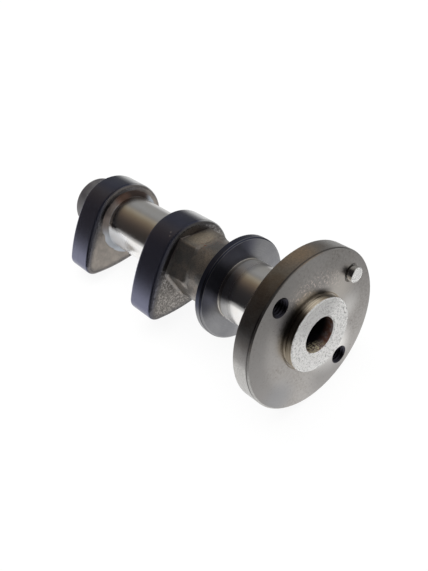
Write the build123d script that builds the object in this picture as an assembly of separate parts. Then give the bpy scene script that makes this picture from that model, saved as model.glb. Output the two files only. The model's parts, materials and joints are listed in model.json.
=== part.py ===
"""A short cam shaft for an overhead-cam engine, lying on a flat surface as it comes to rest.

The shaft is one casting, turned and ground where it runs: a hub and flange for the timing
sprocket, a journal, a thrust collar, a cast neck with a hexagon for a spanner, two equal cam
lobes with a journal between them, and a plain tail. A dowel pin is pressed into the flange.

It is drawn along X, with x = 0 on the flange's sprocket seat, the hub at +X, and the noses of
the cam lobes at +Y. Angles about the shaft are counted from the noses, turning from +Y to +Z.
At the end it is laid on the surface z = 0. All lengths are in millimetres, angles in degrees.
"""

import os
from math import acos, atan2, cos, degrees, radians, sin, tan

from build123d import *

# Lengths along the shaft, in order from the hub's end to the tail.
hub_height = 3.0
flange_thickness = 6.5
journal_length = 24.1
collar_thickness = 3.1
neck_length = 12.6
hexagon_length = 8.1
lobe_width = 12.4
middle_length = 28.0
tail_length = 10.6

# Turned radii.
hub_radius = 12.3
flange_radius = 26.5
journal_radius = 11.0
collar_radius = 17.9
neck_radius = 11.4
middle_radius = 10.5
tail_radius = 10.3

# The hexagon for a spanner, cast with rounded corners.
hexagon_across_flats = 22.0
hexagon_corner_radius = 0.8
hexagon_corner_angle = 22.8

# The cam: base circle, nose and flanks, each an arc that runs smoothly into the next.
base_radius = 14.9
cam_lift = 10.55
nose_radius = 4.0
flank_radius = 60.0
lobe_edge = 1.0

# Sprocket fixing: two tapped holes through the flange and a pressed dowel pin.
fixing_radius = 20.75
tap_radius = 2.5
tap_countersink = 0.65
tap_spread = 88.0
dowel_radius = 2.5
dowel_angle = 184.7
dowel_height = 2.15
dowel_depth = 6.0
dowel_end_chamfer = 0.25
dowel_countersink = 0.6
dowel_neck_depth = 0.25
dowel_neck_rise = 0.1

# Bore up the middle from the hub, and the lathe's centre hole in the tail.
bore_radius = 6.0
bore_depth = 22.0
bore_mouth_chamfer = 0.5
drill_point_angle = 118.0
centre_hole_radius = 3.2
centre_drill_radius = 1.25
centre_drill_depth = 7.0
centre_cone_angle = 60.0

# Edges, grinding reliefs and root fillets.
hub_edge = 0.4
flange_edge = 0.5
collar_edge = 0.5
tail_edge = 0.8
relief_width = 1.5
relief_depth = 0.3
hub_relief_width = 0.9
hub_relief_depth = 0.4
seat_groove_width = 0.5
seat_groove_depth = 0.3
ground_fillet = 2.0
root_margin = 0.3
collar_root = 1.5

# How it lies: the lobes' noses stand this far round from straight down.
rest_angle = 68.0

# Where each length ends, measured along X from the sprocket seat.
hub_end = hub_height
flange_rear = -flange_thickness
collar_front = flange_rear - journal_length
collar_rear = collar_front - collar_thickness
hexagon_front = collar_rear - neck_length
front_lobe = hexagon_front - hexagon_length
front_lobe_rear = front_lobe - lobe_width
rear_lobe = front_lobe_rear - middle_length
rear_lobe_rear = rear_lobe - lobe_width
tail_end = rear_lobe_rear - tail_length


def turned(*outline):
    """A solid of revolution about the shaft's axis, from (x, radius) corners."""
    return revolve(make_face(Polyline(*outline, close=True)), Axis.X)


def disc(front, rear, radius, front_edge=0.0, rear_edge=0.0):
    """A turned disc between two stations, chamfered at its front and rear edges."""
    corners = [(front, 0), (front, radius - front_edge)]
    if front_edge:
        corners.append((front - front_edge, radius))
    if rear_edge:
        corners.append((rear + rear_edge, radius))
    return turned(*corners, (rear, radius - rear_edge), (rear, 0))


def root_fillet(face, side, shaft_radius, fillet_radius):
    """The hollow fillet where a shaft meets the flat face of a disc or lobe.

    side is +1 where the shaft leaves the face towards +X and -1 towards -X.
    """
    foot = face + side * fillet_radius
    rim = shaft_radius + fillet_radius
    hollow = ThreePointArc(
        (face, rim),
        (foot - side * fillet_radius * cos(radians(45)), rim - fillet_radius * sin(radians(45))),
        (foot, shaft_radius),
    )
    sides = Polyline((foot, shaft_radius), (foot, 0), (face, 0), (face, rim))
    return revolve(make_face(Curve() + [hollow, sides]), Axis.X)


def neck_root():
    """The plain cone at the root of the neck, behind the collar."""
    foot = collar_rear - collar_root
    return turned((collar_rear, 0), (collar_rear, neck_radius + collar_root), (foot, neck_radius), (foot, 0))


def cam_centres():
    """How far the nose's and the flanks' centres stand from the shaft's axis."""
    return base_radius + cam_lift - nose_radius, flank_radius - base_radius


def cam_joins():
    """Where a flank meets the base circle and the nose, as angles of the surface from the nose."""
    nose_centre, flank_centre = cam_centres()
    between = flank_radius - nose_radius
    at_axis = (flank_centre**2 + nose_centre**2 - between**2) / (2 * flank_centre * nose_centre)
    at_flank = (flank_centre**2 + between**2 - nose_centre**2) / (2 * flank_centre * between)
    to_base = 180 - degrees(acos(at_axis))
    return to_base, to_base - degrees(acos(at_flank))


def cam_profile():
    """The cam's outline: a base circle, a nose and two flanks that touch both."""
    nose_centre, flank_centre = cam_centres()
    to_base, to_nose = cam_joins()
    flank_x = -flank_centre * cos(radians(to_base))
    flank_y = flank_centre * sin(radians(to_base))
    base = CenterArc((0, 0), base_radius, to_base, 360 - 2 * to_base)
    nose = CenterArc((nose_centre, 0), nose_radius, -to_nose, 2 * to_nose)
    upper = CenterArc((flank_x, -flank_y), flank_radius, to_nose, to_base - to_nose)
    lower = CenterArc((flank_x, flank_y), flank_radius, -to_base, to_base - to_nose)
    return make_face(Curve() + [base, lower, nose, upper])


def cam_reach(angle):
    """How far the cam reaches from the axis in a direction, counted from its nose."""
    nose_centre, flank_centre = cam_centres()
    to_base, to_nose = cam_joins()
    if angle >= to_base:
        return base_radius
    if angle <= to_nose:
        return nose_radius + nose_centre * cos(radians(angle))
    return flank_radius - flank_centre * cos(radians(to_base - angle))


def cam_lobe(front):
    """One cam lobe with bevelled edges, its front face at a station."""
    lobe = extrude(Plane.YZ * cam_profile(), lobe_width)
    rims = lobe.faces().filter_by(Plane.YZ).edges()
    return Pos(X=front - lobe_width) * chamfer(rims, min(lobe_edge, lobe_width / 3))


def spanner_hexagon():
    """The hexagon between the neck and the front lobe."""
    outline = RegularPolygon(hexagon_across_flats / 2, 6, major_radius=False, rotation=hexagon_corner_angle)
    outline = fillet(outline.vertices(), hexagon_corner_radius)
    return Pos(X=front_lobe) * extrude(Plane.YZ * outline, hexagon_length)


def around(angle, radius):
    """A place on the sprocket seat, at an angle from the noses."""
    return Pos(0, radius * cos(radians(angle)), radius * sin(radians(angle)))


def journal_relief():
    """The grinding relief at the root of the journal, beside the collar."""
    low = journal_radius - relief_depth
    far = collar_front + relief_width
    return turned((collar_front, low), (collar_front, journal_radius), (far, journal_radius), (far, low))


def hub_relief():
    """The relief round the foot of the hub, sunk a little into the sprocket seat."""
    low = hub_radius - hub_relief_depth
    groove = hub_radius + seat_groove_width
    return turned(
        (hub_relief_width, hub_radius),
        (hub_relief_width, low),
        (-seat_groove_depth, low),
        (-seat_groove_depth, groove - seat_groove_depth),
        (0, groove),
    )


def flange_hole(radius, countersink):
    """A round hole through the flange, countersunk at the sprocket's side."""
    mouth = radius + countersink
    return turned((0, 0), (0, mouth), (-countersink, radius), (flange_rear, radius), (flange_rear, 0))


def centre_bore():
    """The blind bore up the middle of the hub, flange and journal, with a drilled point."""
    rim = bore_radius + bore_mouth_chamfer
    floor = hub_end - bore_depth
    point = floor - bore_radius / tan(radians(drill_point_angle / 2))
    return turned(
        (hub_end, 0),
        (hub_end, rim),
        (hub_end - bore_mouth_chamfer, bore_radius),
        (floor, bore_radius),
        (point, 0),
    )


def tail_centre_hole():
    """The lathe's centre hole in the tail: a cone with a drilled lead."""
    cone_end = tail_end + (centre_hole_radius - centre_drill_radius) / tan(radians(centre_cone_angle / 2))
    return turned(
        (tail_end, 0),
        (tail_end, centre_hole_radius),
        (cone_end, centre_drill_radius),
        (tail_end + centre_drill_depth, centre_drill_radius),
        (tail_end + centre_drill_depth, 0),
    )


def camshaft():
    """The whole casting, turned, ground and drilled."""
    shaft = disc(hub_end, 0, hub_radius, front_edge=hub_edge)
    shaft += disc(0, flange_rear, flange_radius, flange_edge, flange_edge)
    shaft += disc(flange_rear, collar_front, journal_radius)
    shaft += disc(collar_front, collar_rear, collar_radius, collar_edge, collar_edge)
    shaft += disc(collar_rear, hexagon_front, neck_radius)
    shaft += neck_root()
    shaft += spanner_hexagon()
    shaft += cam_lobe(front_lobe)
    shaft += disc(front_lobe_rear, rear_lobe, middle_radius)
    lobe_root = min(ground_fillet, base_radius - lobe_edge - middle_radius - root_margin)
    shaft += root_fillet(front_lobe_rear, -1, middle_radius, lobe_root)
    shaft += root_fillet(rear_lobe, 1, middle_radius, lobe_root)
    shaft += cam_lobe(rear_lobe)
    shaft += disc(rear_lobe_rear, tail_end, tail_radius, rear_edge=tail_edge)
    shaft -= [hub_relief(), journal_relief(), centre_bore(), tail_centre_hole()]
    for side in (-1, 1):
        tapped = flange_hole(tap_radius, tap_countersink)
        shaft -= around(dowel_angle - 180 + side * tap_spread, fixing_radius) * tapped
    return shaft - around(dowel_angle, fixing_radius) * flange_hole(dowel_radius, dowel_countersink)


def dowel_pin():
    """The dowel pin in its hole: a chamfered free end, and a neck where it leaves the hole's mouth."""
    pin = disc(dowel_height, -dowel_depth, dowel_radius, dowel_end_chamfer)
    neck = dowel_radius - dowel_neck_depth
    pin -= turned(
        (dowel_neck_rise, neck),
        (dowel_neck_rise, dowel_radius),
        (-dowel_countersink, dowel_radius),
        (-dowel_countersink, neck),
    )
    return around(dowel_angle, fixing_radius) * pin


# Lying still, the shaft stands on the flange's rear edge and the rear lobe's rear edge.
height_drop = flange_radius - cam_reach(rest_angle)
foot_spacing = flange_rear + flange_edge - (rear_lobe_rear + lobe_edge)
tilt = degrees(atan2(height_drop, foot_spacing))
lying = Rot(Y=-tilt) * Rot(X=-90 - rest_angle)

shaft = lying * camshaft()
box = shaft.bounding_box()
to_floor = Pos(-box.center().X, -box.center().Y, -box.min.Z)

os.makedirs("parts", exist_ok=True)
export_step(to_floor * shaft, "parts/camshaft.step")
export_step(to_floor * lying * dowel_pin(), "parts/dowel_pin.step")
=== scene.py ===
"""Dresses a short cam shaft: its machined, ground, blackened and as-cast surfaces.

Every piece is a grid of points worked out in the shaft's own frame, in millimetres: x runs along
the shaft, with x = 0 on the flange's sprocket seat and the hub at +x, and y points to the noses of
the lobes. Angles about the shaft are counted from the noses, turning from y to z. The record's
mounts say where that frame stands, and the points are carried there.
"""

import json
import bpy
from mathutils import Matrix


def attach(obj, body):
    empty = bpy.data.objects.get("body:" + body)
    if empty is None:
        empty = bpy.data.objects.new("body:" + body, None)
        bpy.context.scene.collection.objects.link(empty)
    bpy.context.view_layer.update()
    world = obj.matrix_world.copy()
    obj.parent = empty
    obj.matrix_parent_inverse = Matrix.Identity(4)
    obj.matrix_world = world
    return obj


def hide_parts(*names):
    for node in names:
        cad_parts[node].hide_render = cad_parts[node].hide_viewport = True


bl_info = {
    "name": "Cam shaft",
    "version": (1, 0, 0),
    "blender": (4, 5, 0),
    "location": "View3D > Sidebar > Cam shaft",
    "description": "Builds the surfaces and finishes of a short cam shaft",
    "category": "Object",
}

from math import acos, cos, pi, radians, sin, tan

import bpy
import numpy as np
from bpy.props import FloatProperty, FloatVectorProperty, PointerProperty
from bpy.types import Operator, Panel, PropertyGroup
from mathutils import Matrix
from numpy.linalg import norm

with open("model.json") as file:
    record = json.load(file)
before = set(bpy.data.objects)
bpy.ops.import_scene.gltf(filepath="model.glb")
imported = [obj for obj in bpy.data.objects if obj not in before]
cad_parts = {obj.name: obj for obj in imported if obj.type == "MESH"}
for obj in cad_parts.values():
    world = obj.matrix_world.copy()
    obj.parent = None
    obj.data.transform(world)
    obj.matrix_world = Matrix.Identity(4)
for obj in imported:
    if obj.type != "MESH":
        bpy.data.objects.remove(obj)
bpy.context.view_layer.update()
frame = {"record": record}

MM = 0.001
NODE = "camshaft"
PIN_NODE = "dowel_pin"
BODY = "root"
DOWEL_DEGREES = 184.7
FULL_TURN = 2.0 * pi
SHARP = radians(32.0)


# ---- sizes and finishes

def length(name, millimetres, description):
    """A length property, written here in millimetres and kept in metres."""
    default = millimetres * MM
    return FloatProperty(name=name, description=description, default=default, unit="LENGTH", precision=5)


def angle(name, degrees, description):
    """An angle property, written here in degrees."""
    return FloatProperty(name=name, description=description, default=radians(degrees), subtype="ANGLE")


def colour(name, rgb, description):
    """A colour property."""
    return FloatVectorProperty(
        name=name, description=description, default=rgb, subtype="COLOR", min=0.0, max=1.0, size=3
    )


class ShaftSizes(PropertyGroup):
    """Lengths along the shaft, radii, and the sizes of its holes and its dowel."""

    hub_height: length("Hub height", 3.0, "From the sprocket seat to the hub's face")
    flange_thickness: length("Flange thickness", 6.5, "Thickness of the sprocket flange")
    journal_length: length("Front journal length", 24.1, "From the flange to the thrust collar")
    collar_thickness: length("Collar thickness", 3.1, "Thickness of the thrust collar")
    neck_length: length("Neck length", 12.6, "From the collar to the hexagon")
    hexagon_length: length("Hexagon length", 8.1, "From the neck to the front lobe")
    lobe_width: length("Lobe width", 12.4, "Width of each cam lobe")
    middle_length: length("Middle journal length", 28.0, "Between the two lobes")
    tail_length: length("Tail length", 10.6, "Behind the rear lobe")
    hub_radius: length("Hub radius", 12.3, "Radius of the hub's land")
    flange_radius: length("Flange radius", 26.5, "Radius of the flange")
    journal_radius: length("Front journal radius", 11.0, "Radius of the front journal")
    collar_radius: length("Collar radius", 17.9, "Radius of the thrust collar")
    neck_radius: length("Neck radius", 11.4, "Radius of the cast neck")
    middle_radius: length("Middle journal radius", 10.5, "Radius of the middle journal")
    tail_radius: length("Tail radius", 10.3, "Radius of the tail journal")
    bore_radius: length("Bore radius", 6.0, "Radius of the bore in the hub")
    bore_depth: length("Bore depth", 22.0, "Depth of the bore from the hub's face")
    hexagon_across: length("Hexagon across flats", 22.0, "Size of the spanner hexagon")
    hexagon_turn: angle("Hexagon turn", 22.8, "A corner's angle from the noses")
    base_radius: length("Base circle radius", 14.9, "Radius of the cam's base circle")
    cam_lift: length("Cam lift", 10.55, "From the base circle to the nose's tip")
    nose_radius: length("Nose radius", 4.0, "Radius of the cam's nose")
    flank_radius: length("Flank radius", 60.0, "Radius of the cam's flanks")
    fixing_radius: length("Fixing circle radius", 20.75, "Circle of the tapped holes and the dowel")
    tap_radius: length("Tapped hole radius", 2.5, "Radius at the crests of the thread")
    tap_pitch: length("Thread pitch", 1.0, "Between two turns of the thread")
    tap_spread: angle("Tapped hole spread", 88.0, "From opposite the dowel to each hole")
    dowel_radius: length("Dowel radius", 2.5, "Radius of the dowel pin")
    dowel_height: length("Dowel height", 2.15, "From the seat to the dowel's end")
    dowel_angle: angle("Dowel angle", DOWEL_DEGREES, "The dowel's angle from the noses")


ANGLES = ("hexagon_turn", "tap_spread", "dowel_angle")

# Stations from the seat to the tail, each with the length that ends there.
STATIONS = (
    ("flange_rear", "flange_thickness"), ("collar_front", "journal_length"),
    ("collar_rear", "collar_thickness"), ("hexagon_front", "neck_length"),
    ("front_lobe", "hexagon_length"), ("front_lobe_rear", "lobe_width"),
    ("rear_lobe", "middle_length"), ("rear_lobe_rear", "lobe_width"), ("tail_end", "tail_length"),
)


class ShaftFinishes(PropertyGroup):
    """Colours of the shaft's metal."""

    satin: colour("Satin steel", (0.43, 0.412, 0.395), "Turned seat and rim of the flange")
    bright: colour("Bright steel", (0.95, 0.945, 0.93), "Face of the hub and end of the dowel")
    ground: colour("Ground steel", (0.92, 0.91, 0.895), "Ground journals")
    black: colour("Blackened steel", (0.080, 0.087, 0.130), "Running surfaces of the lobes")
    cast: colour("Cast skin", (0.30, 0.28, 0.26), "Surfaces left as cast")
    rust: colour("Rust", (0.26, 0.125, 0.09), "Light rust in the bore")


class StageSettings(PropertyGroup):
    """Where the camera stands and how strong the light is."""

    camera_place: FloatVectorProperty(
        name="Camera place", description="Where the camera stands", subtype="XYZ", unit="LENGTH",
        size=3, default=(0.142013, -0.087748, 0.185334), precision=5,
    )
    camera_turn: FloatVectorProperty(
        name="Camera turn", description="How the camera is turned", subtype="EULER", size=3,
        default=(radians(41.9852), radians(8.1852), radians(47.3201)),
    )
    lens: FloatProperty(name="Lens", description="Focal length in millimetres", default=42.24, min=1.0)
    lamp_power: FloatProperty(
        name="Lamp power", description="Power of the soft lamp overhead", default=14.5, unit="POWER"
    )
    shade_light: FloatProperty(
        name="Shade light", description="Strength of the surroundings", default=1.0, min=0.0
    )


# ---- the shaft's frame

def unit(vector):
    """A vector made 1 long."""
    return vector / norm(vector)


def shaft_frame():
    """Where the seat's middle stands in metres, and the shaft's three directions as rows.

    The hub's middle moved back along its axis to the seat is the seat's middle. The dowel gives
    the turn about that axis: it stands at its own angle from the noses.
    """
    mounts = {mount["name"]: mount for mount in frame["record"]["mounts"]}
    hub, seat, dowel = (
        np.array(mounts[name]["pos_m"], float) for name in ("sprocket_hub", "sprocket_seat", "sprocket_dowel")
    )
    along = unit(np.array(mounts["sprocket_hub"]["axis"], float))
    middle = hub - along * np.dot(hub - seat, along)
    out = dowel - middle
    out = unit(out - along * np.dot(out, along))
    side = np.cross(along, out)
    turn = radians(DOWEL_DEGREES)
    noses = out * cos(turn) - side * sin(turn)
    across = out * sin(turn) + side * cos(turn)
    return middle, np.stack([along, noses, across])


MIDDLE, DIRECTIONS = shaft_frame()


class Shaft:
    """The sizes in millimetres, and the stations where each length ends."""

    def __init__(self, sizes):
        for name in ShaftSizes.__annotations__:
            setattr(self, name, getattr(sizes, name) / (1.0 if name in ANGLES else MM))
        x = 0.0
        for station, part in STATIONS:
            x -= getattr(self, part)
            setattr(self, station, x)


# ---- points and meshes

CELLS = 32
LATTICE = np.random.default_rng(11).uniform(-1, 1, (CELLS, CELLS, CELLS))


def eased(t):
    """A share from 0 to 1 that starts and ends level: 3t^2 - 2t^3."""
    return t * t * (3 - 2 * t)


def lumps(points, size):
    """Smooth noise from -1 to 1 with lumps of a size, at points in the shaft's frame.

    Random values at the eight corners of a point's cell in a repeating lattice are mixed by the
    point's place in the cell, eased on each side.
    """
    place = points / size + 100
    cell = np.floor(place).astype(int)
    t = eased(place - cell)
    total = np.zeros(points.shape[:-1])
    for corner in np.ndindex(2, 2, 2):
        near = [np.where(c, t[..., i], 1 - t[..., i]) for i, c in enumerate(corner)]
        index = [(cell[..., i] + c) % CELLS for i, c in enumerate(corner)]
        total += near[0] * near[1] * near[2] * LATTICE[index[0], index[1], index[2]]
    return total


def cast_grain(points, grain, depth):
    """How far a cast surface stands out: sand grains, pits between them, and slow waves."""
    fine = 0.6 * lumps(points, grain) + 0.4 * lumps(points + 7.3, grain * 0.55)
    wave = lumps(points + 3.1, 2.6)
    return depth * fine + 0.08 * wave


def corner_arc(here, back, ahead, rounding, arc):
    """Points of the arc that rounds a corner between two others.

    It starts and ends at rounding / tan(half the corner's angle) from the corner. Its points are
    weighted sums of the radii to its ends, which turn one into the other at an even rate.
    """
    back, ahead = unit(back - here), unit(ahead - here)
    half = acos(np.clip(np.dot(back, ahead), -1, 1)) / 2
    reach = rounding / tan(half)
    centre = here + unit(back + ahead) * rounding / sin(half)
    first, last = here + back * reach - centre, here + ahead * reach - centre
    swing = pi - 2 * half
    share = np.linspace(0, 1, arc + 1)[:, None]
    return centre + (np.sin((1 - share) * swing) * first + np.sin(share * swing) * last) / sin(swing)


def section(corners, gap=0, loop=True, arc=4, support=0.1):
    """The outline of a section, from corners (x, radius, rounding, finish), the last two 0 if left out.

    A corner with a rounding gives way to an arc. Straight runs get a point close to each end, and
    more where they are longer than the gap. The finish is that of the run after the corner. It
    returns the points, each interval's finish, and each point's wear, which is 1 on the arcs.
    """
    count = len(corners)
    places = np.array([corner[:2] for corner in corners], float)
    bends, points, finishes, wear = [], [], [], []
    for i, corner in enumerate(corners):
        rounding = corner[2] if len(corner) > 2 else 0
        if rounding > 0:
            bends.append(corner_arc(places[i], places[i - 1], places[(i + 1) % count], rounding, arc))
        else:
            bends.append(places[i][None])
    runs = count if loop else count - 1
    for i, (corner, bend) in enumerate(zip(corners, bends)):
        kind = corner[3] if len(corner) > 3 else 0
        points.extend(bend)
        wear.extend([float(len(bend) > 1)] * len(bend))
        finishes.extend([kind] * (len(bend) - 1))
        if i >= runs:
            break
        a, b = bend[-1], bends[(i + 1) % count][0]
        span = norm(b - a)
        inner = [support / span, 1 - support / span] if span > 4 * support else []
        if gap and span > gap:
            inner = sorted(inner + list(np.linspace(0, 1, int(span / gap) + 2)[1:-1]))
        points.extend(a + (b - a) * t for t in inner)
        wear.extend([0] * len(inner))
        finishes.extend([kind] * (len(inner) + 1))
    return np.array(points), finishes, np.array(wear)


def turns(count):
    """Angles in even steps, once round."""
    return np.linspace(0, FULL_TURN, count, endpoint=False)


def round_axis(x, r, a):
    """Points (x, r cos a, r sin a), of arrays that stretch over each other."""
    return np.stack([x + 0 * a, r * np.cos(a), r * np.sin(a)], -1)


def carried_round(outline, sides):
    """A section carried round the axis in even steps."""
    return round_axis(outline[:, 0, None], outline[:, 1, None], turns(sides))


def facing(grid):
    """Unit normals of a grid, from the cross products of its steps along rows and columns."""
    normal = np.cross(np.roll(grid, -1, 1) - np.roll(grid, 1, 1), np.gradient(grid, axis=0))
    return normal / np.maximum(norm(normal, axis=-1, keepdims=True), 1e-9)


def enclosed(points, quads):
    """Volume inside the faces: the sum of the signed volumes of their corners with the origin."""
    a, b, c, d = (points[quads[:, i]] for i in range(4))
    return np.sum(np.cross(a, b) * c) / 6 + np.sum(np.cross(a, c) * d) / 6


def by_corner(values):
    """The values of a grid of corners, gathered at each face's four corners."""
    return np.stack([values[:-1, :-1], values[:-1, 1:], values[1:, 1:], values[1:, :-1]], 2)


def surface(name, grid, finishes, wear=None, loop=True):
    """A closed mesh over a grid whose columns go round.

    Rows loop as well, or else the first and last lie in one point each and are closed with
    triangles. Finishes are the material numbers of the rows' intervals. The UV map runs evenly
    round, and along by rows or length. Points are carried from the shaft's frame to the part's:
    middle + x along + y noses + z across.
    """
    rows, cols = grid.shape[:2]
    if loop:
        points = grid.reshape(-1, 3)
        index = np.arange(rows * cols).reshape(rows, cols)
        index = np.vstack([index, index[:1]])
        run = np.arange(rows + 1)
    else:
        points = np.vstack([grid[0, :1], grid[1:-1].reshape(-1, 3), grid[-1, :1]])
        inner = 1 + np.arange((rows - 2) * cols).reshape(rows - 2, cols)
        index = np.vstack([np.zeros((1, cols), int), inner, np.full((1, cols), len(points) - 1)])
        step = norm(np.diff(grid.mean(1), axis=0), axis=1)
        step = step + norm(np.diff(grid, axis=0), axis=-1).mean(1)
        run = np.concatenate([[0], np.cumsum(step)])
    quads = by_corner(np.hstack([index, index[:, :1]])).reshape(-1, 4)
    v, u = np.meshgrid(np.linspace(0, 1, cols + 1), run / max(run[-1], 1e-9))
    uvs = by_corner(np.stack([u, v], -1)).reshape(-1, 4, 2)
    if enclosed(points, quads) < 0:
        quads, uvs = quads[:, ::-1], uvs[:, ::-1]
    keep = quads != np.roll(quads, 1, 1)
    faces = quads.tolist() if loop else [row[k].tolist() for row, k in zip(quads, keep)]
    mesh = bpy.data.meshes.new(name)
    mesh.from_pydata(MIDDLE + (points * MM) @ DIRECTIONS, [], faces)
    mesh.uv_layers.new(name="skin")
    mesh.uv_layers["skin"].data.foreach_set("uv", uvs[keep].astype(np.float32).ravel())
    mesh.polygons.foreach_set("material_index", np.repeat(finishes, cols).astype(np.int32))
    mesh.shade_smooth()
    mesh.set_sharp_from_angle(angle=SHARP)
    if wear is not None:
        value = np.repeat(wear, cols) if wear.ndim == 1 else wear.ravel()
        if not loop:
            value = np.concatenate([value[:1], value[cols:-cols], value[-1:]])
        mesh.attributes.new("wear", "FLOAT", "POINT").data.foreach_set("value", value.astype(np.float32))
    mesh.validate()
    return mesh


def finished(make):
    """The material that a finish function makes, on first use, from the scene's finishes."""
    name = make.__name__
    if name not in bpy.data.materials:
        make(Steel(name), bpy.context.scene.shaft_finishes)
    return bpy.data.materials[name]


def placed(name, data):
    """A new object in the scene."""
    made = bpy.data.objects.new(name, data)
    bpy.context.scene.collection.objects.link(made)
    return made


def piece(name, mesh, finishes, node=NODE):
    """Puts a mesh into the scene as a piece that stands for a node and rides with the shaft."""
    for make in finishes:
        mesh.materials.append(finished(make))
    made = placed(name, mesh)
    if node:
        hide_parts(node)
        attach(made, BODY)
    return made


def turned(name, corners, sides, *finishes, loop=True, **spacing):
    """A piece of the shaft that is a section carried round the axis."""
    outline, kinds, wear = section(corners, loop=loop, **spacing)
    return piece(name, surface(name, carried_round(outline, sides), kinds, wear, loop), finishes)


# ---- materials

def sign(operation):
    """A Math node's operation as a sign between two wires, or a wire and a number."""
    return lambda wire, other: wire.graph.maths(operation, wire, other)


class Wire:
    """A node's output. Signs between wires add Math nodes; a | b is the larger of the two."""

    __add__, __sub__, __mul__ = sign("ADD"), sign("SUBTRACT"), sign("MULTIPLY")
    __truediv__, __or__ = sign("DIVIDE"), sign("MAXIMUM")

    def __init__(self, graph, socket):
        self.graph, self.socket = graph, socket


def rgba(value):
    """A colour with its fourth number, or a wire as it is."""
    return value if isinstance(value, Wire) else (*value, 1)


class Graph:
    """Adds nodes to a material or world, sets their inputs and joins them up."""

    def __init__(self, owner):
        owner.use_nodes = True
        self.tree = owner.node_tree
        self.tree.nodes.clear()

    def node(self, kind, inputs=None, **settings):
        """A shader node; an input that is a wire is joined, and any other is a value."""
        node = self.tree.nodes.new("ShaderNode" + kind)
        for name, value in settings.items():
            setattr(node, name, value)
        for name, value in (inputs or {}).items():
            if isinstance(value, Wire):
                self.tree.links.new(value.socket, node.inputs[name])
            else:
                node.inputs[name].default_value = value
        return node

    def add(self, kind, inputs=None, output=0, **settings):
        """An output of a new node."""
        return Wire(self, self.node(kind, inputs, **settings).outputs[output])

    def maths(self, operation, a, b=0, c=0):
        """A Math node's answer."""
        return self.add("Math", {0: a, 1: b, 2: c}, operation=operation)

    def vectors(self, operation, a, b):
        """A Vector Math node's answer, where it is a number."""
        return self.add("VectorMath", {0: a, 1: b}, "Value", operation=operation)

    def spread(self, value, low, high, to_low=0, to_high=1):
        """A value eased from one range to another and held at its ends."""
        inputs = {"Value": value, "From Min": low, "From Max": high, "To Min": to_low, "To Max": to_high}
        return self.add("MapRange", inputs, interpolation_type="SMOOTHSTEP")

    def mix(self, share, a, b):
        """One colour turned into another by a share."""
        return self.add("Mix", {0: share, 6: rgba(a), 7: rgba(b)}, 2, data_type="RGBA")

    def shaders(self, share, a, b):
        """One shader turned into another by a share."""
        return self.add("MixShader", {0: share, 1: a, 2: b})

    def glow(self, kind, tone, strength=1):
        """A background or emission."""
        return self.add(kind, {"Color": rgba(tone), "Strength": strength})

    def ramp(self, value, stops):
        """A colour that follows a value from -1 to 1 through stops (value, colour)."""
        node = self.node("ValToRGB", {0: (value + 1) / 2})
        elements = node.color_ramp.elements
        for i, (stop, *tone) in enumerate(stops):
            element = elements[i] if i < 2 else elements.new(1)
            element.position, element.color = (stop + 1) / 2, (*tone, 1)
        return Wire(self, node.outputs[0])


class Steel(Graph):
    """A material in the shaft's own frame, in millimetres, whose base colour is laid on in turn."""

    def __init__(self, name):
        super().__init__(bpy.data.materials.new(name))
        turn = Matrix(DIRECTIONS.T.tolist()).to_euler()
        at = self.add("TexCoord", output="Object")
        inputs = {"Vector": at, "Location": MIDDLE.tolist(), "Rotation": turn, "Scale": (MM, MM, MM)}
        self.place = self.add("Mapping", inputs, vector_type="TEXTURE")
        parts = self.node("SeparateXYZ", {0: self.place}).outputs
        self.x, self.y, self.z = (Wire(self, part) for part in parts)
        self.radius = self.maths("SQRT", self.y * self.y + self.z * self.z)
        self.base = None

    def lay(self, share, tone):
        """Lays a tone over the base colour by a share."""
        self.base = self.mix(share, self.base, tone)

    def near(self, x, radius, degrees, inner, outer):
        """1 close to a place given by station, radius and angle, and 0 away from it."""
        a = radians(degrees)
        gap = self.vectors("DISTANCE", self.place, (x, radius * cos(a), radius * sin(a)))
        return self.spread(gap, outer, inner)

    def side(self, degrees, inner, outer):
        """1 within an angle of a direction round the shaft, and 0 beyond another."""
        a = radians(degrees)
        cosine = (self.y * cos(a) + self.z * sin(a)) / self.radius
        return self.spread(cosine, cos(radians(outer)), cos(radians(inner)))

    def band(self, value, start, full, fall, end):
        """1 from full to fall, and 0 before the start and past the end."""
        return self.spread(value, start, full) * self.spread(value, end, fall)

    def blend(self, share, first, second):
        """One number turned into another by a share."""
        return self.maths("MULTIPLY_ADD", share, second - first, first)

    def noise(self, size, detail=2, roughness=0.5):
        """Noise with features of about a size."""
        inputs = {"Vector": self.place, "Scale": 1 / size, "Detail": detail, "Roughness": roughness}
        return self.add("TexNoise", inputs)

    def patches(self, size, detail, roughness, low, high):
        """Noise made into patches: 0 where it is below one value and 1 above the other."""
        return self.spread(self.noise(size, detail, roughness), low, high)

    def rings(self, value, size, detail=3):
        """Noise along one number only, for turning and grinding marks."""
        inputs = {"W": value, "Scale": 1 / size, "Detail": detail}
        return self.add("TexNoise", inputs, noise_dimensions="1D")

    def wear(self):
        """The number that the mesh carries."""
        return self.add("Attribute", output="Fac", attribute_name="wear")

    def shade(self, roughness, metallic, height, depth, anisotropic=0):
        """The shader, with relief of a depth in millimetres from a height."""
        bump = {"Height": height, "Strength": 1, "Distance": depth * MM}
        normal = self.add("Bump", bump)
        inputs = {"Base Color": self.base, "Roughness": roughness, "Metallic": metallic, "Normal": normal}
        if anisotropic:
            inputs["Anisotropic"] = anisotropic
            inputs["Tangent"] = self.add("Tangent", direction_type="UV_MAP", uv_map="skin")
        self.node("OutputMaterial", {"Surface": self.add("BsdfPrincipled", inputs)})


def tint(tone, factor, warmth=0):
    """A colour made darker or lighter, and warmer where warmth is above 0."""
    r, g, b = tone
    return tuple(min(max(c * factor, 0), 1) for c in (r * (1 + warmth), g, b * (1 - warmth)))


# Each finish takes an empty material, m, and the scene's colours.

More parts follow.
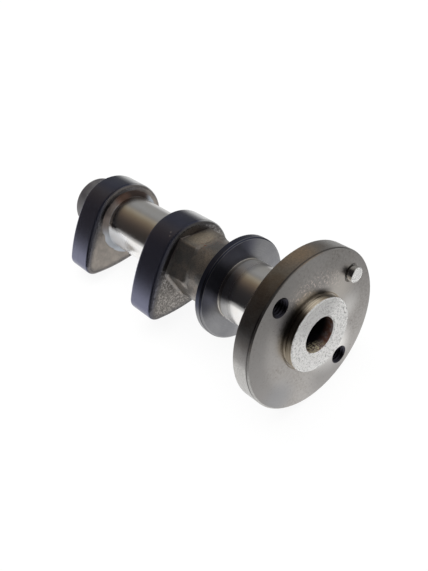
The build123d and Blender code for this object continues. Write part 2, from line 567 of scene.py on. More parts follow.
def satin_seat(m, tones):
    """The flange's seat: satin steel with stains, light specks near the hub and fine turning rings, with
    painted highlights round the hub, painted shade on its outer part and by the hub, and a painted shadow at
    the hub's foot.
    """
    cloud = m.patches(9, 3, 0.55, 0.35, 0.7)
    m.base = m.mix(cloud, tint(tones.satin, 0.97), tint(tones.satin, 0.76, 0.03))
    mottle = m.noise(0.9, 4, 0.7)
    m.lay(m.spread(mottle, 0.35, 0.65), tint(tones.satin, 1.1))
    # Painted highlights: lighter patches on the seat round the hub.
    m.lay(m.near(0, 15, -170, 1, 10), (0.66, 0.62, 0.57))
    bright = m.near(0, 14.5, 92, 3.5, 10.5) | m.near(0, 15, 150, 0, 7.5) * 0.6
    m.lay(bright, (0.94, 0.92, 0.89))
    # Painted shade: the outer part of the seat darker on one side, and in one more patch.
    painted_shade = m.side(-38, 45, 80) * m.spread(m.radius, 17, 22)
    m.lay((painted_shade | m.near(0, 22.5, 75, 3, 12)) * 0.6, (0.26, 0.25, 0.245))
    # Painted shade by the hub on one side.
    m.lay(m.near(0, 15, -78, 1.5, 8) * 0.75, (0.15, 0.14, 0.145))
    m.lay(m.near(0, 23, 15, 2, 9) * 0.5, (0.33, 0.335, 0.35))
    # Painted shadow: a dark ring at the hub's foot on one side.
    hub_foot_shade = m.spread(m.radius, 14.6, 13.1) * m.side(-95, 40, 70)
    m.lay(hub_foot_shade * 0.7, (0.07, 0.063, 0.06))
    by_hub = m.band(m.radius, 13.8, 15.4, 17, 21.5) * m.side(-130, 20, 50)
    specks = m.patches(0.8, 3, 0.7, 0.51, 0.62) * by_hub
    m.lay(specks * 0.75, (0.92, 0.81, 0.75))
    rough = m.spread(mottle, 0.3, 0.75, 0.27, 0.38)
    marks = m.noise(0.3, 3, 0.7) * 0.6 + m.rings(m.radius, 0.35) * 0.4
    m.shade(rough, 1, marks, 0.03)


def satin_rim(m, tones):
    """The flange's rim: satin steel gone brown in places, made pale on two sides as painted highlights, with
    painted shade as dark lines at and behind its front edge and as a darker strip, each on one side only.
    """
    m.base = tint(tones.satin, 0.95)
    m.lay(m.patches(4, 4, 0.65, 0.4, 0.62) * 0.45, (0.31, 0.25, 0.20))
    m.lay(m.near(-4.5, 26.5, -119, 1, 8.5) * 0.9, (0.62, 0.46, 0.31))
    # Painted highlights: the rim made pale on two sides.
    pale = m.side(-15, 12, 40) | m.side(-154, 6, 18)
    m.lay(pale, (0.58, 0.57, 0.55))
    # Painted shade: a dark line behind the front edge and another on it, each on one side only.
    line = m.band(m.x, -1, -0.62, -0.5, -0.42) * m.side(-40, 24, 40)
    edge = m.band(m.x, -0.6, -0.45, -0.25, -0.1) * m.side(-122, 24, 42)
    m.lay(line | edge * 0.8, (0.04, 0.035, 0.033))
    # Painted shade: a darker strip behind the front edge on one side.
    turn = m.side(-50, 4, 17) * m.spread(m.x, -0.4, -0.6)
    m.lay(turn * 0.65, (0.16, 0.15, 0.15))
    grain = m.noise(0.5, 3, 0.65)
    m.lay(m.spread(grain, 0.35, 0.65, 0, 0.35), (0.2, 0.19, 0.185))
    marks = grain * 0.7 + m.rings(m.x, 0.25, 2) * 0.3
    m.shade(m.spread(m.noise(3), 0.3, 0.7, 0.32, 0.4), 1, marks, 0.02)


def dark_rear(m, tones):
    """The flange's rear face: dull and dark."""
    patch = m.patches(3, 3, 0.5, 0.35, 0.65)
    m.base = m.mix(patch, (0.075, 0.07, 0.07), (0.05, 0.047, 0.05))
    m.shade(0.45, 1, m.rings(m.radius, 0.3), 0.01)


def bright_hub(m, tones):
    """The hub's face: bright and grainy, with scratches round the bore, and painted shade on one side."""
    mark = m.noise(0.7, 4, 0.8) * 0.75 + m.rings(m.radius, 0.22, 4) * 0.25
    m.base = m.mix(m.spread(mark, 0.39, 0.5), tint(tones.bright, 0.38), tones.bright)
    # Painted shade: the face darker on one side.
    m.lay(m.side(-110, 25, 70) * 0.55, tint(tones.bright, 0.4))
    m.shade(0.26, 0.25, mark, 0.6)


def turned_hub(m, tones):
    """The hub's land: turned steel with a golden tint, a painted patch of shade, and a less metallic spot
    that shows a painted golden highlight.
    """
    ring = m.rings(m.x, 0.3)
    m.base = m.mix(m.spread(ring, 0.4, 0.6), (0.97, 0.86, 0.68), (0.55, 0.48, 0.38))
    # Painted shade: a dark patch on the land.
    m.lay(m.near(1.8, 12.3, -147, 0.8, 3.6), (0.2, 0.18, 0.15))
    # Painted highlight: a less metallic spot, so that it lights up golden.
    golden_glint = m.near(2, 12.3, -114, 0.8, 4.5)
    m.shade(0.2, m.blend(golden_glint, 1, 0.6), ring, 0.008)


def bore_wall(m, tones):
    """The bore: dark, with patches of light rust, painted shade deeper in, and a painted golden glint of
    specks near its mouth on one side.
    """
    m.base = m.mix(m.patches(2.5, 4, 0.65, 0.42, 0.6), (0.42, 0.33, 0.32), tones.rust)
    # Painted shade: darker deeper into the bore.
    m.lay(m.spread(m.x, 2.6, -1.5), (0.012, 0.011, 0.014))
    # Painted glint: golden specks near the mouth on one side.
    golden_glint = m.near(2, 6, 45, 2, 5) * m.patches(0.7, 3, 0.7, 0.45, 0.58)
    m.lay(golden_glint, (1, 0.90, 0.64))
    m.shade(0.36, 0.6, m.noise(0.3, 3, 0.65), 0.04)


def thread_dark(m, tones):
    """The tapped holes: dark oiled metal."""
    grain = m.noise(0.2)
    m.base = m.mix(grain, (0.062, 0.06, 0.075), (0.032, 0.03, 0.042))
    m.shade(0.36, 1, grain, 0.01)


def ground_journal(m, tones):
    """A ground journal: bright, with marks round it, duller at the front journal's root, and with a painted
    white reflection, less metallic, on the middle journal's lower side.

    The fillet at the rear lobe is dull and brown on its upper side, with painted shade further round, and
    pale and less metallic below as a painted reflection.
    """
    mark = m.rings(m.x, 0.12)
    m.base = m.mix(mark, tint(tones.ground, 1.03), tint(tones.ground, 0.95))
    m.lay(m.patches(5, 2, 0.6, 0.4, 0.65) * 0.25, tint(tones.ground, 0.86, 0.06))
    hollow = m.spread(m.radius, 10.51, 10.62) * m.spread(m.x, -60, -62)
    # Painted reflection: white and less metallic on the middle journal's lower side.
    painted_reflection = m.side(-26, 16, 27) * m.spread(m.x, -78, -85)
    m.lay(painted_reflection, (0.95, 0.96, 0.98))
    m.lay(hollow, (0.46, 0.49, 0.53))
    m.lay(hollow * m.side(-90, 35, 70), (0.20, 0.17, 0.155))
    # Painted shade: the fillet darker further round its upper side.
    m.lay(hollow * m.side(-140, 28, 48), (0.085, 0.064, 0.057))
    m.lay(m.near(-94, 10.5, -115, 1.2, 4.5) * 0.8, (0.22, 0.14, 0.11))
    m.lay(m.band(m.x, -31, -30.4, -29.3, -28.9) * 0.5, (0.5, 0.44, 0.34))
    at_root = m.band(m.x, -40, -35, -28, -23.5)
    rough = m.spread(mark, 0.3, 0.7, 0.13, 0.18) + at_root * 0.2 + hollow * 0.3
    # Painted reflection: the fillet less metallic on its lower side, so it shows pale.
    below = hollow * m.side(-30, 28, 50)
    below = below | hollow * m.side(-80, 15, 35) * 0.5
    m.shade(rough, m.blend(painted_reflection | below, 1, 0.25), mark, 0.0003, anisotropic=0.9)


def black_collar(m, tones):
    """The thrust collar: ground, with a blackened rim, painted shade on its face, darker and bluer to one
    side, a painted highlight on one side of the rim, a painted dark line behind its front edge, and bare
    steel with painted highlights along its rounded edges.
    """
    stain = m.patches(4, 3, 0.6, 0.35, 0.7)
    m.base = m.mix(stain, (0.34, 0.34, 0.35), (0.29, 0.29, 0.305))
    ring = m.rings(m.radius, 0.2)
    mark = ring * 0.6 + m.noise(0.6, 3, 0.65) * 0.4
    m.lay(m.spread(mark, 0.4, 0.6, 0, 0.3), (0.15, 0.15, 0.16))
    # Painted shade: the face darker on two sides.
    sides = m.side(0, 20, 45) | m.side(-165, 20, 45)
    m.lay(sides * 0.35, (0.16, 0.16, 0.165))
    # Painted shade: the face darker and bluer on one side.
    m.lay(m.side(-88, 40, 70) * 0.78, (0.085, 0.09, 0.135))
    rim = m.spread(m.radius, 17.35, 17.55)
    m.lay(rim, tint(tones.black, 0.7))
    # Painted highlight: the blackened rim lighter on one side.
    m.lay(rim * m.side(-5, 15, 38), (0.24, 0.24, 0.25))
    # Bare steel along the rounded edges, and a painted highlight there.
    m.lay(m.wear() * 0.4, (0.5, 0.49, 0.48))
    # Painted shade: a dark line behind the front edge, on one side only.
    line = m.band(m.x, -31.55, -31.3, -31.08, -31) * m.side(-30, 35, 60)
    m.lay(line, (0.02, 0.02, 0.025))
    m.shade(0.3, 0.95, ring, 0.001, anisotropic=0.8)


def cast_skin(m, tones):
    """Cast iron as it left the mould: dull and grainy, with a painted highlight in light brown on the hexagon
    and reddish flecks beside it, darker by the collar, and painted shade in the crease before the front lobe.
    """
    patch = m.patches(4, 4, 0.6, 0.35, 0.65)
    m.base = m.mix(patch, tint(tones.cast, 1.15, 0.05), tint(tones.cast, 0.85, -0.03))
    # Painted highlight: a light brown patch on the hexagon's top flat.
    m.lay(m.near(-50, 11, -124, 2.5, 6.5), (0.68, 0.585, 0.455))
    fleck = m.patches(0.8, 3, 0.7, 0.58, 0.66) * m.near(-45.5, 11.2, -122, 2, 6)
    m.lay(fleck, (0.34, 0.13, 0.10))
    m.lay(m.spread(m.x, -39.5, -35) * 0.75, (0.08, 0.078, 0.085))
    # Painted shade: darker in the crease before the front lobe, on one side.
    gap = m.spread(m.x, -53.6, -54.3) * m.side(-130, 60, 85)
    m.lay(gap * 0.8, (0.15, 0.125, 0.115))
    pit = m.noise(0.4, 4, 0.75)
    m.lay(m.spread(pit, 0.38, 0.6, 0.5, 0), (0.12, 0.115, 0.115))
    m.shade(m.spread(pit, 0.35, 0.7, 0.46, 0.3), 0.93, pit, 0.035)


def lobe_run(m, tones, away, coarse):
    """Where a lobe runs: blackened, with painted highlights that lighten it towards the nose and make it near
    white at the heel, and with two nicks.
    """
    sheen = m.patches(5, 2, 0.5, 0.35, 0.65)
    m.base = m.mix(sheen, tint(tones.black, 0.88), tint(tones.black, 0.74))
    # Painted highlight: lighter towards the nose.
    nose_highlight = m.spread(m.y, -14, 10) * m.spread(away, -0.9, -1.4)
    m.lay(nose_highlight, tint(tones.black, 2.1, 0.06))
    # Painted highlight: near white at the heel.
    m.lay(m.side(180, 23, 48), (0.95, 0.95, 0.955))
    for station, turn in ((-57.9, -96.5), (-57.1, -91.5)):
        m.lay(m.near(station, 14.9, turn, 0.14, 0.3), (0.62, 0.62, 0.70))
    edge = m.mix(coarse, (0.19, 0.175, 0.17), (0.10, 0.095, 0.095))
    edge = m.mix(m.side(-45, 25, 50), edge, (0.13, 0.13, 0.155))
    m.lay(m.spread(away, 0.1, 0.6), edge)
    m.lay(m.spread(away, 0.9, 1.4), (0.10, 0.096, 0.10))
    return m.base


def lobe_side(m, tones, pit, coarse):
    """A lobe's cast side: smooth on the rear lobe, and grainy on the front one, whose grains carry painted
    highlights in two places, with painted shade on its upper part and round its foot on one side.
    """
    patch = m.patches(3.5, 4, 0.6, 0.35, 0.65)
    smooth = m.mix(patch, tint(tones.cast, 1.05, 0.04), tint(tones.cast, 0.84, 0.02))
    # Painted highlights on the grains in two places.
    lit = m.near(-54.4, 13, -45, 2, 9) | m.near(-54.4, 13.6, -158, 1.5, 7)
    grains = m.mix(lit, tint(tones.cast, 1.35), (0.85, 0.84, 0.83))
    grainy = m.mix(m.spread(pit, 0.45, 0.62), tint(tones.cast, 0.55), grains)
    m.base = m.mix(coarse, smooth, grainy)
    # Painted shade: the side darker on its upper part.
    painted_shade = m.mix(m.spread(pit, 0.35, 0.6), (0.13, 0.115, 0.105), (0.24, 0.215, 0.20))
    m.lay(m.side(-85, 40, 70) * m.blend(coarse, 0.5, 0.8), painted_shade)
    # Painted shade: darker round the foot on one side.
    foot = m.spread(m.radius, 14.4, 12.6) * m.side(-122, 40, 65)
    m.lay(foot * 0.85, (0.075, 0.064, 0.06))
    return m.base


def cam_skin(m, tones):
    """A lobe: blackened and ground where it runs, as cast on its sides, with a ragged border.

    The mesh's wear is its distance from the running surface. The border stands about 1 mm in from
    there, moved in and out by noise, and further in on one flank.
    """
    away, coarse = m.wear(), m.spread(m.x, -85, -65)
    pit = m.noise(0.6, 5, 0.7)
    ragged = (m.noise(0.9, 4, 0.7) - 0.5) * 2.6
    border = m.spread(m.y, -12, 4, 0.15, 1.1) + m.spread(m.y, 8, 23, 0, -0.1)
    dark = m.near(-54.4, 13.5, -80, 3, 11) | m.near(-94.8, 13.5, -105, 2, 9)
    dark = dark * 3 + m.spread(m.z, -1.5, -9)
    cast = m.spread(away - border - dark + ragged, -0.4, m.blend(coarse, 2.3, 2.5))
    run = lobe_run(m, tones, away, coarse)
    m.base = m.mix(cast, run, lobe_side(m, tones, pit, coarse))
    rough = m.blend(cast, 0.25, m.spread(pit, 0.35, 0.7, 0.42, 0.3))
    relief = cast * m.spread(coarse, 0, 1, 0.2, 1) * pit
    bevel = m.band(away, 0, 0.4, 1.2, 1.6) * m.side(-50, 35, 60)
    m.shade(rough, m.blend(bevel, 0.96, 0.76), relief, 0.2)


def dark_tail(m, tones):
    """The tail: dark satin metal, made lighter on one side as a painted highlight."""
    patch = m.patches(3, 3, 0.5, 0.35, 0.65)
    m.base = m.mix(patch, (0.15, 0.145, 0.15), (0.11, 0.105, 0.115))
    # Painted highlight: lighter on one side.
    m.lay(m.side(-35, 20, 45) * 0.6, (0.3, 0.29, 0.3))
    m.lay(m.wear() * 0.5, (0.4, 0.39, 0.38))
    m.shade(0.5, 0.6, m.rings(m.x, 0.2), 0.006)


def dowel_bright(m, tones):
    """The dowel pin: bright and polished, with a granular end and a painted dark line of shade at its foot.
    """
    grain = m.noise(0.5, 3, 0.7)
    m.base = m.mix(m.spread(grain, 0.35, 0.6), tint(tones.bright, 0.72), tones.bright)
    # Painted shade: a dark line round the foot, where the pin meets the seat.
    m.lay(m.spread(m.x, 0.55, 0.2) * 0.8, (0.2, 0.19, 0.18))
    end = m.spread(m.x, 2.05, 2.12)
    m.shade(m.blend(end, 0.16, 0.26), m.blend(end, 1, 0.4), grain, 0.03)


# ---- shapes

# Small sizes of the turned parts, in millimetres.
EDGE = 0.5
RELIEF_DEPTH = 0.3
RELIEF_WIDTH = 1.5
HUB_EDGE = 0.4
HUB_RELIEF_DEPTH = 0.4
HUB_RELIEF_TOP = 0.9
SEAT_GROOVE_DEPTH = 0.3
BORE_POINT = radians(59)
COUNTERSINK = 0.65
THREAD_DEPTH = 0.5
GROUND_FILLET = 2
TAIL_EDGE = 0.8
CENTRE_MOUTH = 3.2
CENTRE_DRILL = 1.25
CENTRE_DEPTH = 7
CENTRE_CONE = radians(30)
DOWEL_DEPTH = 6
DOWEL_HOLE_CONE = 0.6
DOWEL_NECK = 0.25
BEVEL = 0.9


def fixing(s, turn):
    """How far the fixing circle stands from the axis, at an angle from the noses."""
    return np.array([0, s.fixing_radius * cos(turn), s.fixing_radius * sin(turn)])


def threaded_cutter(s, steps=16, sides=72):
    """A tapped hole about the axis as a solid to take away: a thread under a countersink.

    Its radius is the larger of the thread's, which goes from crest to root and back once a pitch
    and moves on by a pitch a turn, and that of a 45 degree cone open to the sprocket's side.
    """
    above = 1
    deep = s.flange_thickness + above
    x = np.linspace(above, -deep, int((above + deep) * steps / s.tap_pitch) + 1)[:, None]
    a = turns(sides)
    phase = (x / s.tap_pitch + a / FULL_TURN) % 1
    ridge = np.clip(1.35 * (1 - np.abs(2 * phase - 1)) - 0.15, 0, 1)
    grid = round_axis(x, np.maximum(s.tap_radius + THREAD_DEPTH * ridge, s.tap_radius + COUNTERSINK + x), a)
    return np.concatenate([grid[:1] * [1, 0, 0], grid, grid[-1:] * [1, 0, 0]])


def cut(body, cutters):
    """Takes the cutters' solids out of a body, exactly, and keeps the result as its mesh."""
    for cutter in cutters:
        trim = body.modifiers.new("cut", "BOOLEAN")
        trim.object, trim.operation, trim.solver = cutter, "DIFFERENCE", "EXACT"
        trim.material_mode = "INDEX"
    bpy.context.view_layer.update()
    evaluated = body.evaluated_get(bpy.context.evaluated_depsgraph_get())
    mesh = bpy.data.meshes.new_from_object(evaluated)
    body.modifiers.clear()
    body.data = mesh
    mesh.shade_smooth()
    mesh.set_sharp_from_angle(angle=SHARP)
    for cutter in cutters:
        bpy.data.objects.remove(cutter)


class SHAFT_OT_sprocket_flange(Operator):
    """Add the hub, the flange with its tapped holes and dowel hole, and the bore"""

    bl_idname = "shaft.sprocket_flange"
    bl_label = "Sprocket flange"

    def execute(self, context):
        s = Shaft(context.scene.shaft_sizes)
        finishes = (satin_seat, satin_rim, bright_hub, turned_hub, bore_wall, thread_dark, dark_rear)
        seat, rim, hub, land, bore, thread, back = range(len(finishes))
        top, bottom, inside = s.hub_height, s.flange_rear, 8
        r, hub_r, bore_r, point = s.flange_radius, s.hub_radius, s.bore_radius, top - s.bore_depth
        low, groove, under = hub_r - HUB_RELIEF_DEPTH, hub_r + EDGE - SEAT_GROOVE_DEPTH, point - 6
        corners = [
            (point - bore_r / tan(BORE_POINT), 0, 0, bore), (point, bore_r, 0.2, bore),
            (top - EDGE, bore_r, 0.08, hub), (top, bore_r + EDGE, 0.08, hub),
            (top, hub_r - HUB_EDGE, 0.12, hub), (top - HUB_EDGE, hub_r, 0.12, land),
            (HUB_RELIEF_TOP, hub_r, 0.05, land), (HUB_RELIEF_TOP, low, 0, land),
            (-SEAT_GROOVE_DEPTH, low, 0, seat), (-SEAT_GROOVE_DEPTH, groove, 0, seat),
            (0, hub_r + EDGE, 0.05, seat), (0, r - EDGE, 0.1, rim),
            (-EDGE, r, 0.1, rim), (bottom + EDGE, r, 0.1, rim),
            (bottom, r - EDGE, 0.1, back), (bottom, inside, 0, back),
            (under, inside, 0, back), (under, 0, 0, back),
        ]
        body = turned("sprocket_flange", corners, 288, *finishes, gap=2.5, loop=False)
        holes = []
        for side in (-1, 1):
            grid = threaded_cutter(s) + fixing(s, s.dowel_angle - pi + side * s.tap_spread)
            holes.append((grid, [thread] * (len(grid) - 1)))
        clearance, beyond = 0.01, 1
        hole = s.dowel_radius + clearance
        corners = [(beyond, 0, 0, seat), (beyond, hole + DOWEL_HOLE_CONE + beyond, 0, seat),
                   (-DOWEL_HOLE_CONE, hole, 0, thread), (bottom - beyond, hole, 0, thread),
                   (bottom - beyond, 0)]
        outline, kinds, _ = section(corners, loop=False)
        holes.append((carried_round(outline, 96) + fixing(s, s.dowel_angle), kinds))
        cut(body, [piece("hole", surface("hole", *hole, loop=False), finishes, None) for hole in holes])
        return {"FINISHED"}


class SHAFT_OT_journals(Operator):
    """Add the front and middle journals and the tail, with reliefs, fillets and a centre hole"""

    bl_idname = "shaft.journals"
    bl_label = "Journals"

    def execute(self, context):
        s = Shaft(context.scene.shaft_sizes)
        front, rear, r = s.flange_rear, s.collar_front, s.journal_radius
        low, inside = r - RELIEF_DEPTH, 7
        foot = low + 0.22
        corners = [
            (front + 1, inside), (front + 1, low), (front - 1.2, low),
            (front - RELIEF_WIDTH, r, 0.08), (rear + RELIEF_WIDTH, r, 0.08),
            (rear + 1.3, low, 0.1), (rear + 0.15, low),
            (rear - 0.1, foot), (rear - 1, foot), (rear - 1, inside),
        ]
        turned("front_journal", corners, 224, ground_journal, gap=1)

        front, rear, r, inside, overlap = s.front_lobe_rear, s.rear_lobe, s.middle_radius, 7, 0.6
        fillet, rim = GROUND_FILLET, r + GROUND_FILLET
        corners = [
            (front + overlap, inside), (front + overlap, rim), (front, rim),
            (front, r, fillet * 0.98), (front - fillet, r),
            (rear + fillet, r), (rear, r, fillet * 0.98),
            (rear, rim), (rear - overlap, rim), (rear - overlap, inside),
        ]
        turned("middle_journal", corners, 224, ground_journal, gap=1, arc=14)

        start, end, r = s.rear_lobe_rear + 2, s.tail_end, s.tail_radius
        cone_end = end + (CENTRE_MOUTH - CENTRE_DRILL) / tan(CENTRE_CONE)
        corners = [
            (start, 0), (start, r), (end + TAIL_EDGE, r, 0.15), (end, r - TAIL_EDGE, 0.15),
            (end, CENTRE_MOUTH, 0.08), (cone_end, CENTRE_DRILL),
            (end + CENTRE_DEPTH, CENTRE_DRILL), (end + CENTRE_DEPTH + 0.5, 0),
        ]
        turned("tail_journal", corners, 192, dark_tail, gap=1.2, loop=False)
        return {"FINISHED"}


class SHAFT_OT_thrust_collar(Operator):
    """Add the thrust collar"""

    bl_idname = "shaft.thrust_collar"
    bl_label = "Thrust collar"

    def execute(self, context):
        s = Shaft(context.scene.shaft_sizes)
        front, rear, r, inside, rounding = s.collar_front, s.collar_rear, s.collar_radius, 9, 0.12
        corners = [
            (front, inside), (front, r - EDGE, rounding), (front - EDGE, r, rounding),
            (rear + EDGE, r, rounding), (rear, r - EDGE, rounding), (rear, inside),
        ]
        turned("thrust_collar", corners, 320, black_collar, gap=1)
        return {"FINISHED"}


def neck_reach(x, a, s):
    """How far the cast neck and hexagon reach from the axis at a station and an angle.

    The hexagon's reach is its inner radius over the cosine of the angle from the nearest flat's
    middle, its corner eased. It gives way to the round neck, and both flare out to the collar and
    the lobe as hollow fillets, rim - sqrt(R^2 - (R - distance)^2), widest below at the lobe.
    """
    flat = (a - s.hexagon_turn) % (pi / 3) - pi / 6
    within, ease, blend = s.hexagon_across / 2, 16, 1.4
    corner = within / cos(pi / 6) - 0.22
    hexagon = -np.logaddexp(-within / np.cos(flat) * ease, -corner * ease) / ease
    share = eased(np.clip((s.hexagon_front + blend / 2 - x) / blend, 0, 1))
    body = s.neck_radius + (hexagon - s.neck_radius) * share
    low = 0.02 + 1.3 * np.clip(np.cos(a + radians(30)), 0, 1)
    for face, side, fillet in ((s.collar_rear, -1, 1.5), (s.front_lobe, 1, low)):
        near = np.clip(fillet - side * (x - face), 0, fillet)
        body = body + fillet - np.sqrt(fillet**2 - near**2)
    return body


class SHAFT_OT_cast_neck(Operator):
    """Add the cast neck behind the collar and the spanner hexagon that it runs into"""

    bl_idname = "shaft.cast_neck"
    bl_label = "Cast neck"

    def execute(self, context):
        s = Shaft(context.scene.shaft_sizes)
        inside, overlap, sides = 8, 0.4, 360
        front, rear = s.collar_rear + overlap, s.front_lobe - overlap
        x = np.linspace(front, rear, 110)[:, None]
        a = turns(sides)[None]
        outer = round_axis(x, neck_reach(np.clip(x, s.front_lobe, s.collar_rear), a, s), a)
        outer = outer + facing(outer) * cast_grain(outer, 0.5, 0.05)[..., None]
        inner = carried_round(np.array([[rear, inside], [front, inside]]), sides)
        grid = np.concatenate([outer, inner])
        mesh = surface("cast_neck", grid, [0] * len(grid), np.zeros(len(grid)))
        piece("cast_neck", mesh, [cast_skin])
        return {"FINISHED"}


def cam_outline(s, count):
    """Points of the cam's outline and the directions in which its surface faces there.

    Its four arcs are base circle, nose and two flanks that touch both. A point is its arc's
    centre plus the arc's radius times the way it faces. Points are spread evenly by length.
    """
    nose_centre = s.base_radius + s.cam_lift - s.nose_radius
    flank_centre, between = s.flank_radius - s.base_radius, s.flank_radius - s.nose_radius
    at_axis = (flank_centre**2 + nose_centre**2 - between**2) / (2 * flank_centre * nose_centre)
    at_flank = (flank_centre**2 + between**2 - nose_centre**2) / (2 * flank_centre * between)
    to_base = pi - acos(at_axis)
    to_nose = to_base - acos(at_flank)
    knots = np.array([-to_nose, to_nose, to_base, FULL_TURN - to_base, FULL_TURN - to_nose])
    radii = np.array([s.nose_radius, s.flank_radius, s.base_radius, s.flank_radius])
    flank = np.array([-flank_centre * cos(to_base), -flank_centre * sin(to_base)])
    centres = np.array([[nose_centre, 0], flank, [0, 0], flank * [1, -1]])
    run = np.concatenate([[0], np.cumsum(np.diff(knots) * radii)])
    faces = np.interp(np.linspace(0, run[-1], count, endpoint=False), run, knots)
    arc = np.searchsorted(knots[1:-1], faces, side="right")
    ways = np.stack([np.cos(faces), np.sin(faces)], -1)
    return centres[arc] + radii[arc, None] * ways, ways


def lobe_grid(s, front, count, depth):
    """A lobe as rows of points round it, and each point's distance from where it runs.

    Rows go over the front side, its bevel, the running surface, the other bevel and the rear side.
    On a side, a point is mixed from an inner circle and the outline drawn in by the bevel. The
    cast grain fades on the bevels. Where the lobe runs, the distance is -1.5.
    """
    outline, ways = cam_outline(s, count)
    rear, side, inside = front - s.lobe_width, 3, 8.6
    centre = inside * outline / norm(outline, axis=1, keepdims=True)
    edge = [(front, side), (front, BEVEL, 1.1), (front - BEVEL, 0, 1.3)]
    edge += [(rear + BEVEL, 0, 1.3), (rear, BEVEL, 1.1), (rear, side)]
    path, _, _ = section(edge, gap=1.2, loop=False, arc=6)
    path = path[path[:, 1] < 2]
    ring = outline[None] - ways[None] * path[:, 1, None, None]
    share = (np.linspace(0, 1, 46) ** 0.9)[:, None, None]
    first = centre * (1 - share) + ring[:1] * share
    last = centre * share + ring[-1:] * (1 - share)
    flat = np.concatenate([first[:-1], ring, last[1:]])
    beside = np.ones(len(share) - 1)
    x = np.concatenate([front * beside, path[:, 0], rear * beside])[:, None]
    grid = np.concatenate([np.repeat(x[..., None], count, 1), flat], -1)
    runs = (x < front - BEVEL) & (x > rear + BEVEL)
    away = np.where(runs, -1.5, norm(outline[None] - flat, axis=-1))
    lift = cast_grain(grid, 0.6, depth) * np.clip((away - 0.15) / 0.9, 0, 1)
    return grid + facing(grid) * lift[..., None], away


class SHAFT_OT_cam_lobes(Operator):
    """Add the two cam lobes, ground where they run and as cast on their sides"""

    bl_idname = "shaft.cam_lobes"
    bl_label = "Cam lobes"

    def execute(self, context):
        s = Shaft(context.scene.shaft_sizes)
        lobes = (("front_cam_lobe", s.front_lobe, 560, 0.07), ("rear_cam_lobe", s.rear_lobe, 480, 0.025))
        for name, front, count, depth in lobes:
            grid, away = lobe_grid(s, front, count, depth)
            piece(name, surface(name, grid, [0] * len(grid), away), [cam_skin])
        return {"FINISHED"}


class SHAFT_OT_dowel_pin(Operator):
    """Add the dowel pin"""

    bl_idname = "shaft.dowel_pin"
    bl_label = "Dowel pin"

    def execute(self, context):
        s = Shaft(context.scene.shaft_sizes)
        top, r, rise = s.dowel_height, s.dowel_radius, 0.1
        low = r - DOWEL_NECK
        corners = [
            (-DOWEL_DEPTH, 0), (-DOWEL_DEPTH, r), (-DOWEL_HOLE_CONE, r), (-DOWEL_HOLE_CONE, low),
            (rise, low), (rise, r, 0.05), (top - DOWEL_NECK, r, 0.1), (top, low, 0.1), (top, 0),
        ]
        outline, kinds, wear = section(corners, gap=0.5, loop=False, support=0.06)
        grid = carried_round(outline, 96) + fixing(s, s.dowel_angle)
        mesh = surface("dowel_pin_steel", grid, kinds, wear, loop=False)
        piece("dowel_pin_steel", mesh, [dowel_bright], PIN_NODE)
        return {"FINISHED"}


# ---- stage

WHITE = (1, 1, 1)

# The studio's tones, from its pale side at -1 to its dark side at 1.
STUDIO = (
    (-1, 0.25, 0.24, 0.225), (-0.7, 0.26, 0.26, 0.255), (-0.5, 0.265, 0.265, 0.262),
    (-0.36, 0.22, 0.218, 0.214), (-0.27, 0.232, 0.218, 0.195), (-0.2, 0.29, 0.26, 0.21),
    (-0.11, 0.25, 0.215, 0.16), (0.02, 0.175, 0.137, 0.097), (0.14, 0.122, 0.094, 0.07),
    (0.28, 0.068, 0.053, 0.045), (0.42, 0.032, 0.029, 0.028), (0.58, 0.02, 0.019, 0.021),
)


def way(azimuth, elevation):
    """The direction at an azimuth and an elevation, in degrees."""
    a, e = radians(azimuth), radians(elevation)
    return cos(a) * cos(e), sin(a) * cos(e), sin(e)


def surroundings(strength):
    """The studio round the shaft: pale grey, darker on one side, and white behind it."""
    world = bpy.data.worlds.new("studio")
    bpy.context.scene.world = world
    graph = Graph(world)
    at = graph.add("TexCoord", output="Generated")
    tone = graph.ramp(graph.vectors("DOT_PRODUCT", at, way(-75, 18)), STUDIO)
    hub_side = graph.vectors("DOT_PRODUCT", at, way(60, 25))
    tone = graph.mix(graph.spread(hub_side, 0.45, 0.95), tone, (0.5, 0.5, 0.495))
    light = graph.glow("Background", tone, strength)
    white = graph.glow("Background", WHITE)
    seen = graph.add("LightPath", output="Is Camera Ray")
    graph.node("OutputWorld", {"Surface": graph.shaders(seen, light, white)})


def floor_material():
    """White paper that keeps a shadow, and fades to the surroundings' grey where polish mirrors it."""
    material = bpy.data.materials.new("floor_white")
    graph = Graph(material)
    at = graph.add("TexCoord", output="Object")
    reach = graph.vectors("DISTANCE", at, (-0.04, -0.02, 0))
    far_side = graph.vectors("DOT_PRODUCT", at, (-0.5, 0.86, 0))
    rays = graph.node("LightPath").outputs
    seen, mirrored = Wire(graph, rays["Is Camera Ray"]), Wire(graph, rays["Is Glossy Ray"])
    near = graph.mix(graph.spread(reach, 0.095, 0.17), WHITE, (0.38, 0.38, 0.38))
    beyond = graph.mix(graph.spread(reach, 0.1, 0.22), (0.6, 0.6, 0.6), (0.28, 0.28, 0.28))
    tone = graph.mix(graph.spread(far_side, 0.02, 0.085), near, beyond)
    paper = graph.add("BsdfDiffuse", {"Color": (0.9, 0.9, 0.9, 1)})
    white = graph.glow("Emission", WHITE)
    glow = graph.shaders(mirrored, white, graph.glow("Emission", tone))
    both = graph.shaders(seen * 0.92 + mirrored, paper, glow)
    graph.node("OutputMaterial", {"Surface": both})
    return material


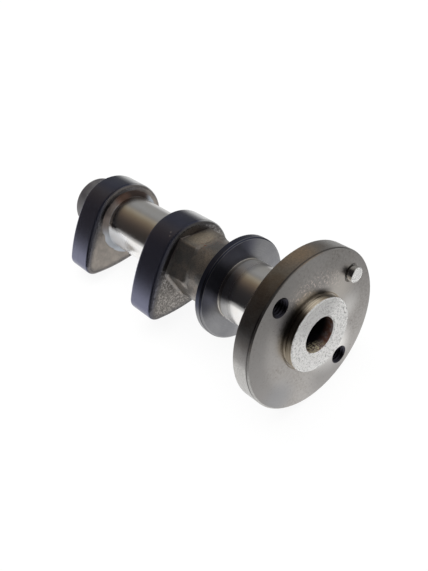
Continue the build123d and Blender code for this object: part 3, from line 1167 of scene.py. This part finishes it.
class SHAFT_OT_stage(Operator):
    """Add the floor, the lamp, the surroundings and the camera"""

    bl_idname = "shaft.stage"
    bl_label = "Stage"

    def execute(self, context):
        scene = context.scene
        settings = scene.shaft_stage
        half_width, below = 0.8, 0.00003
        mesh = bpy.data.meshes.new("floor")
        corners = np.array([[-1, -1, 0], [1, -1, 0], [1, 1, 0], [-1, 1, 0]]) * half_width
        mesh.from_pydata(corners - [0, 0, below], [], [(0, 1, 2, 3)])
        mesh.materials.append(floor_material())
        floor = placed("floor", mesh)

        lamp_data = bpy.data.lights.new("overhead", "AREA")
        lamp_data.shape, lamp_data.size, lamp_data.energy = "DISK", 1.2, settings.lamp_power
        lamp = placed("overhead", lamp_data)
        lamp.location = (0, 0, 0.9)
        lamp.visible_glossy = lamp.visible_camera = False
        surroundings(settings.shade_light)

        camera_data = bpy.data.cameras.new("camera")
        camera_data.lens, camera_data.clip_start = settings.lens, 0.01
        camera = placed("camera", camera_data)
        camera.location, camera.rotation_euler = settings.camera_place, settings.camera_turn
        scene.camera = camera
        scene.view_settings.view_transform = "Standard"
        return {"FINISHED"}


class SHAFT_PT_panel(Panel):
    """Lists the shaft's pieces and settings in the sidebar"""

    bl_idname = "SHAFT_PT_panel"
    bl_label = "Cam shaft"
    bl_space_type = "VIEW_3D"
    bl_region_type = "UI"
    bl_category = "Cam shaft"

    def draw(self, context):
        for operator in OPERATORS:
            self.layout.operator(operator.bl_idname)
        for name in GROUPS:
            group, box = getattr(context.scene, name), self.layout.box()
            for setting in type(group).__annotations__:
                box.prop(group, setting)


OPERATORS = (
    SHAFT_OT_stage,
    SHAFT_OT_sprocket_flange,
    SHAFT_OT_journals,
    SHAFT_OT_thrust_collar,
    SHAFT_OT_cast_neck,
    SHAFT_OT_cam_lobes,
    SHAFT_OT_dowel_pin,
)
GROUPS = {"shaft_sizes": ShaftSizes, "shaft_finishes": ShaftFinishes, "shaft_stage": StageSettings}


def register():
    """Registers the classes and the scene's settings."""
    for cls in (*GROUPS.values(), *OPERATORS, SHAFT_PT_panel):
        bpy.utils.register_class(cls)
    for name, cls in GROUPS.items():
        setattr(bpy.types.Scene, name, PointerProperty(type=cls))


def unregister():
    """Removes the settings and the classes again."""
    for name in GROUPS:
        delattr(bpy.types.Scene, name)
    for cls in (SHAFT_PT_panel, *reversed(OPERATORS), *reversed(GROUPS.values())):
        bpy.utils.unregister_class(cls)


def main():
    """Registers the add-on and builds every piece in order."""
    register()
    for operator in OPERATORS:
        group, call = operator.bl_idname.split(".")
        getattr(getattr(bpy.ops, group), call)()


if __name__ == "__main__":
    main()
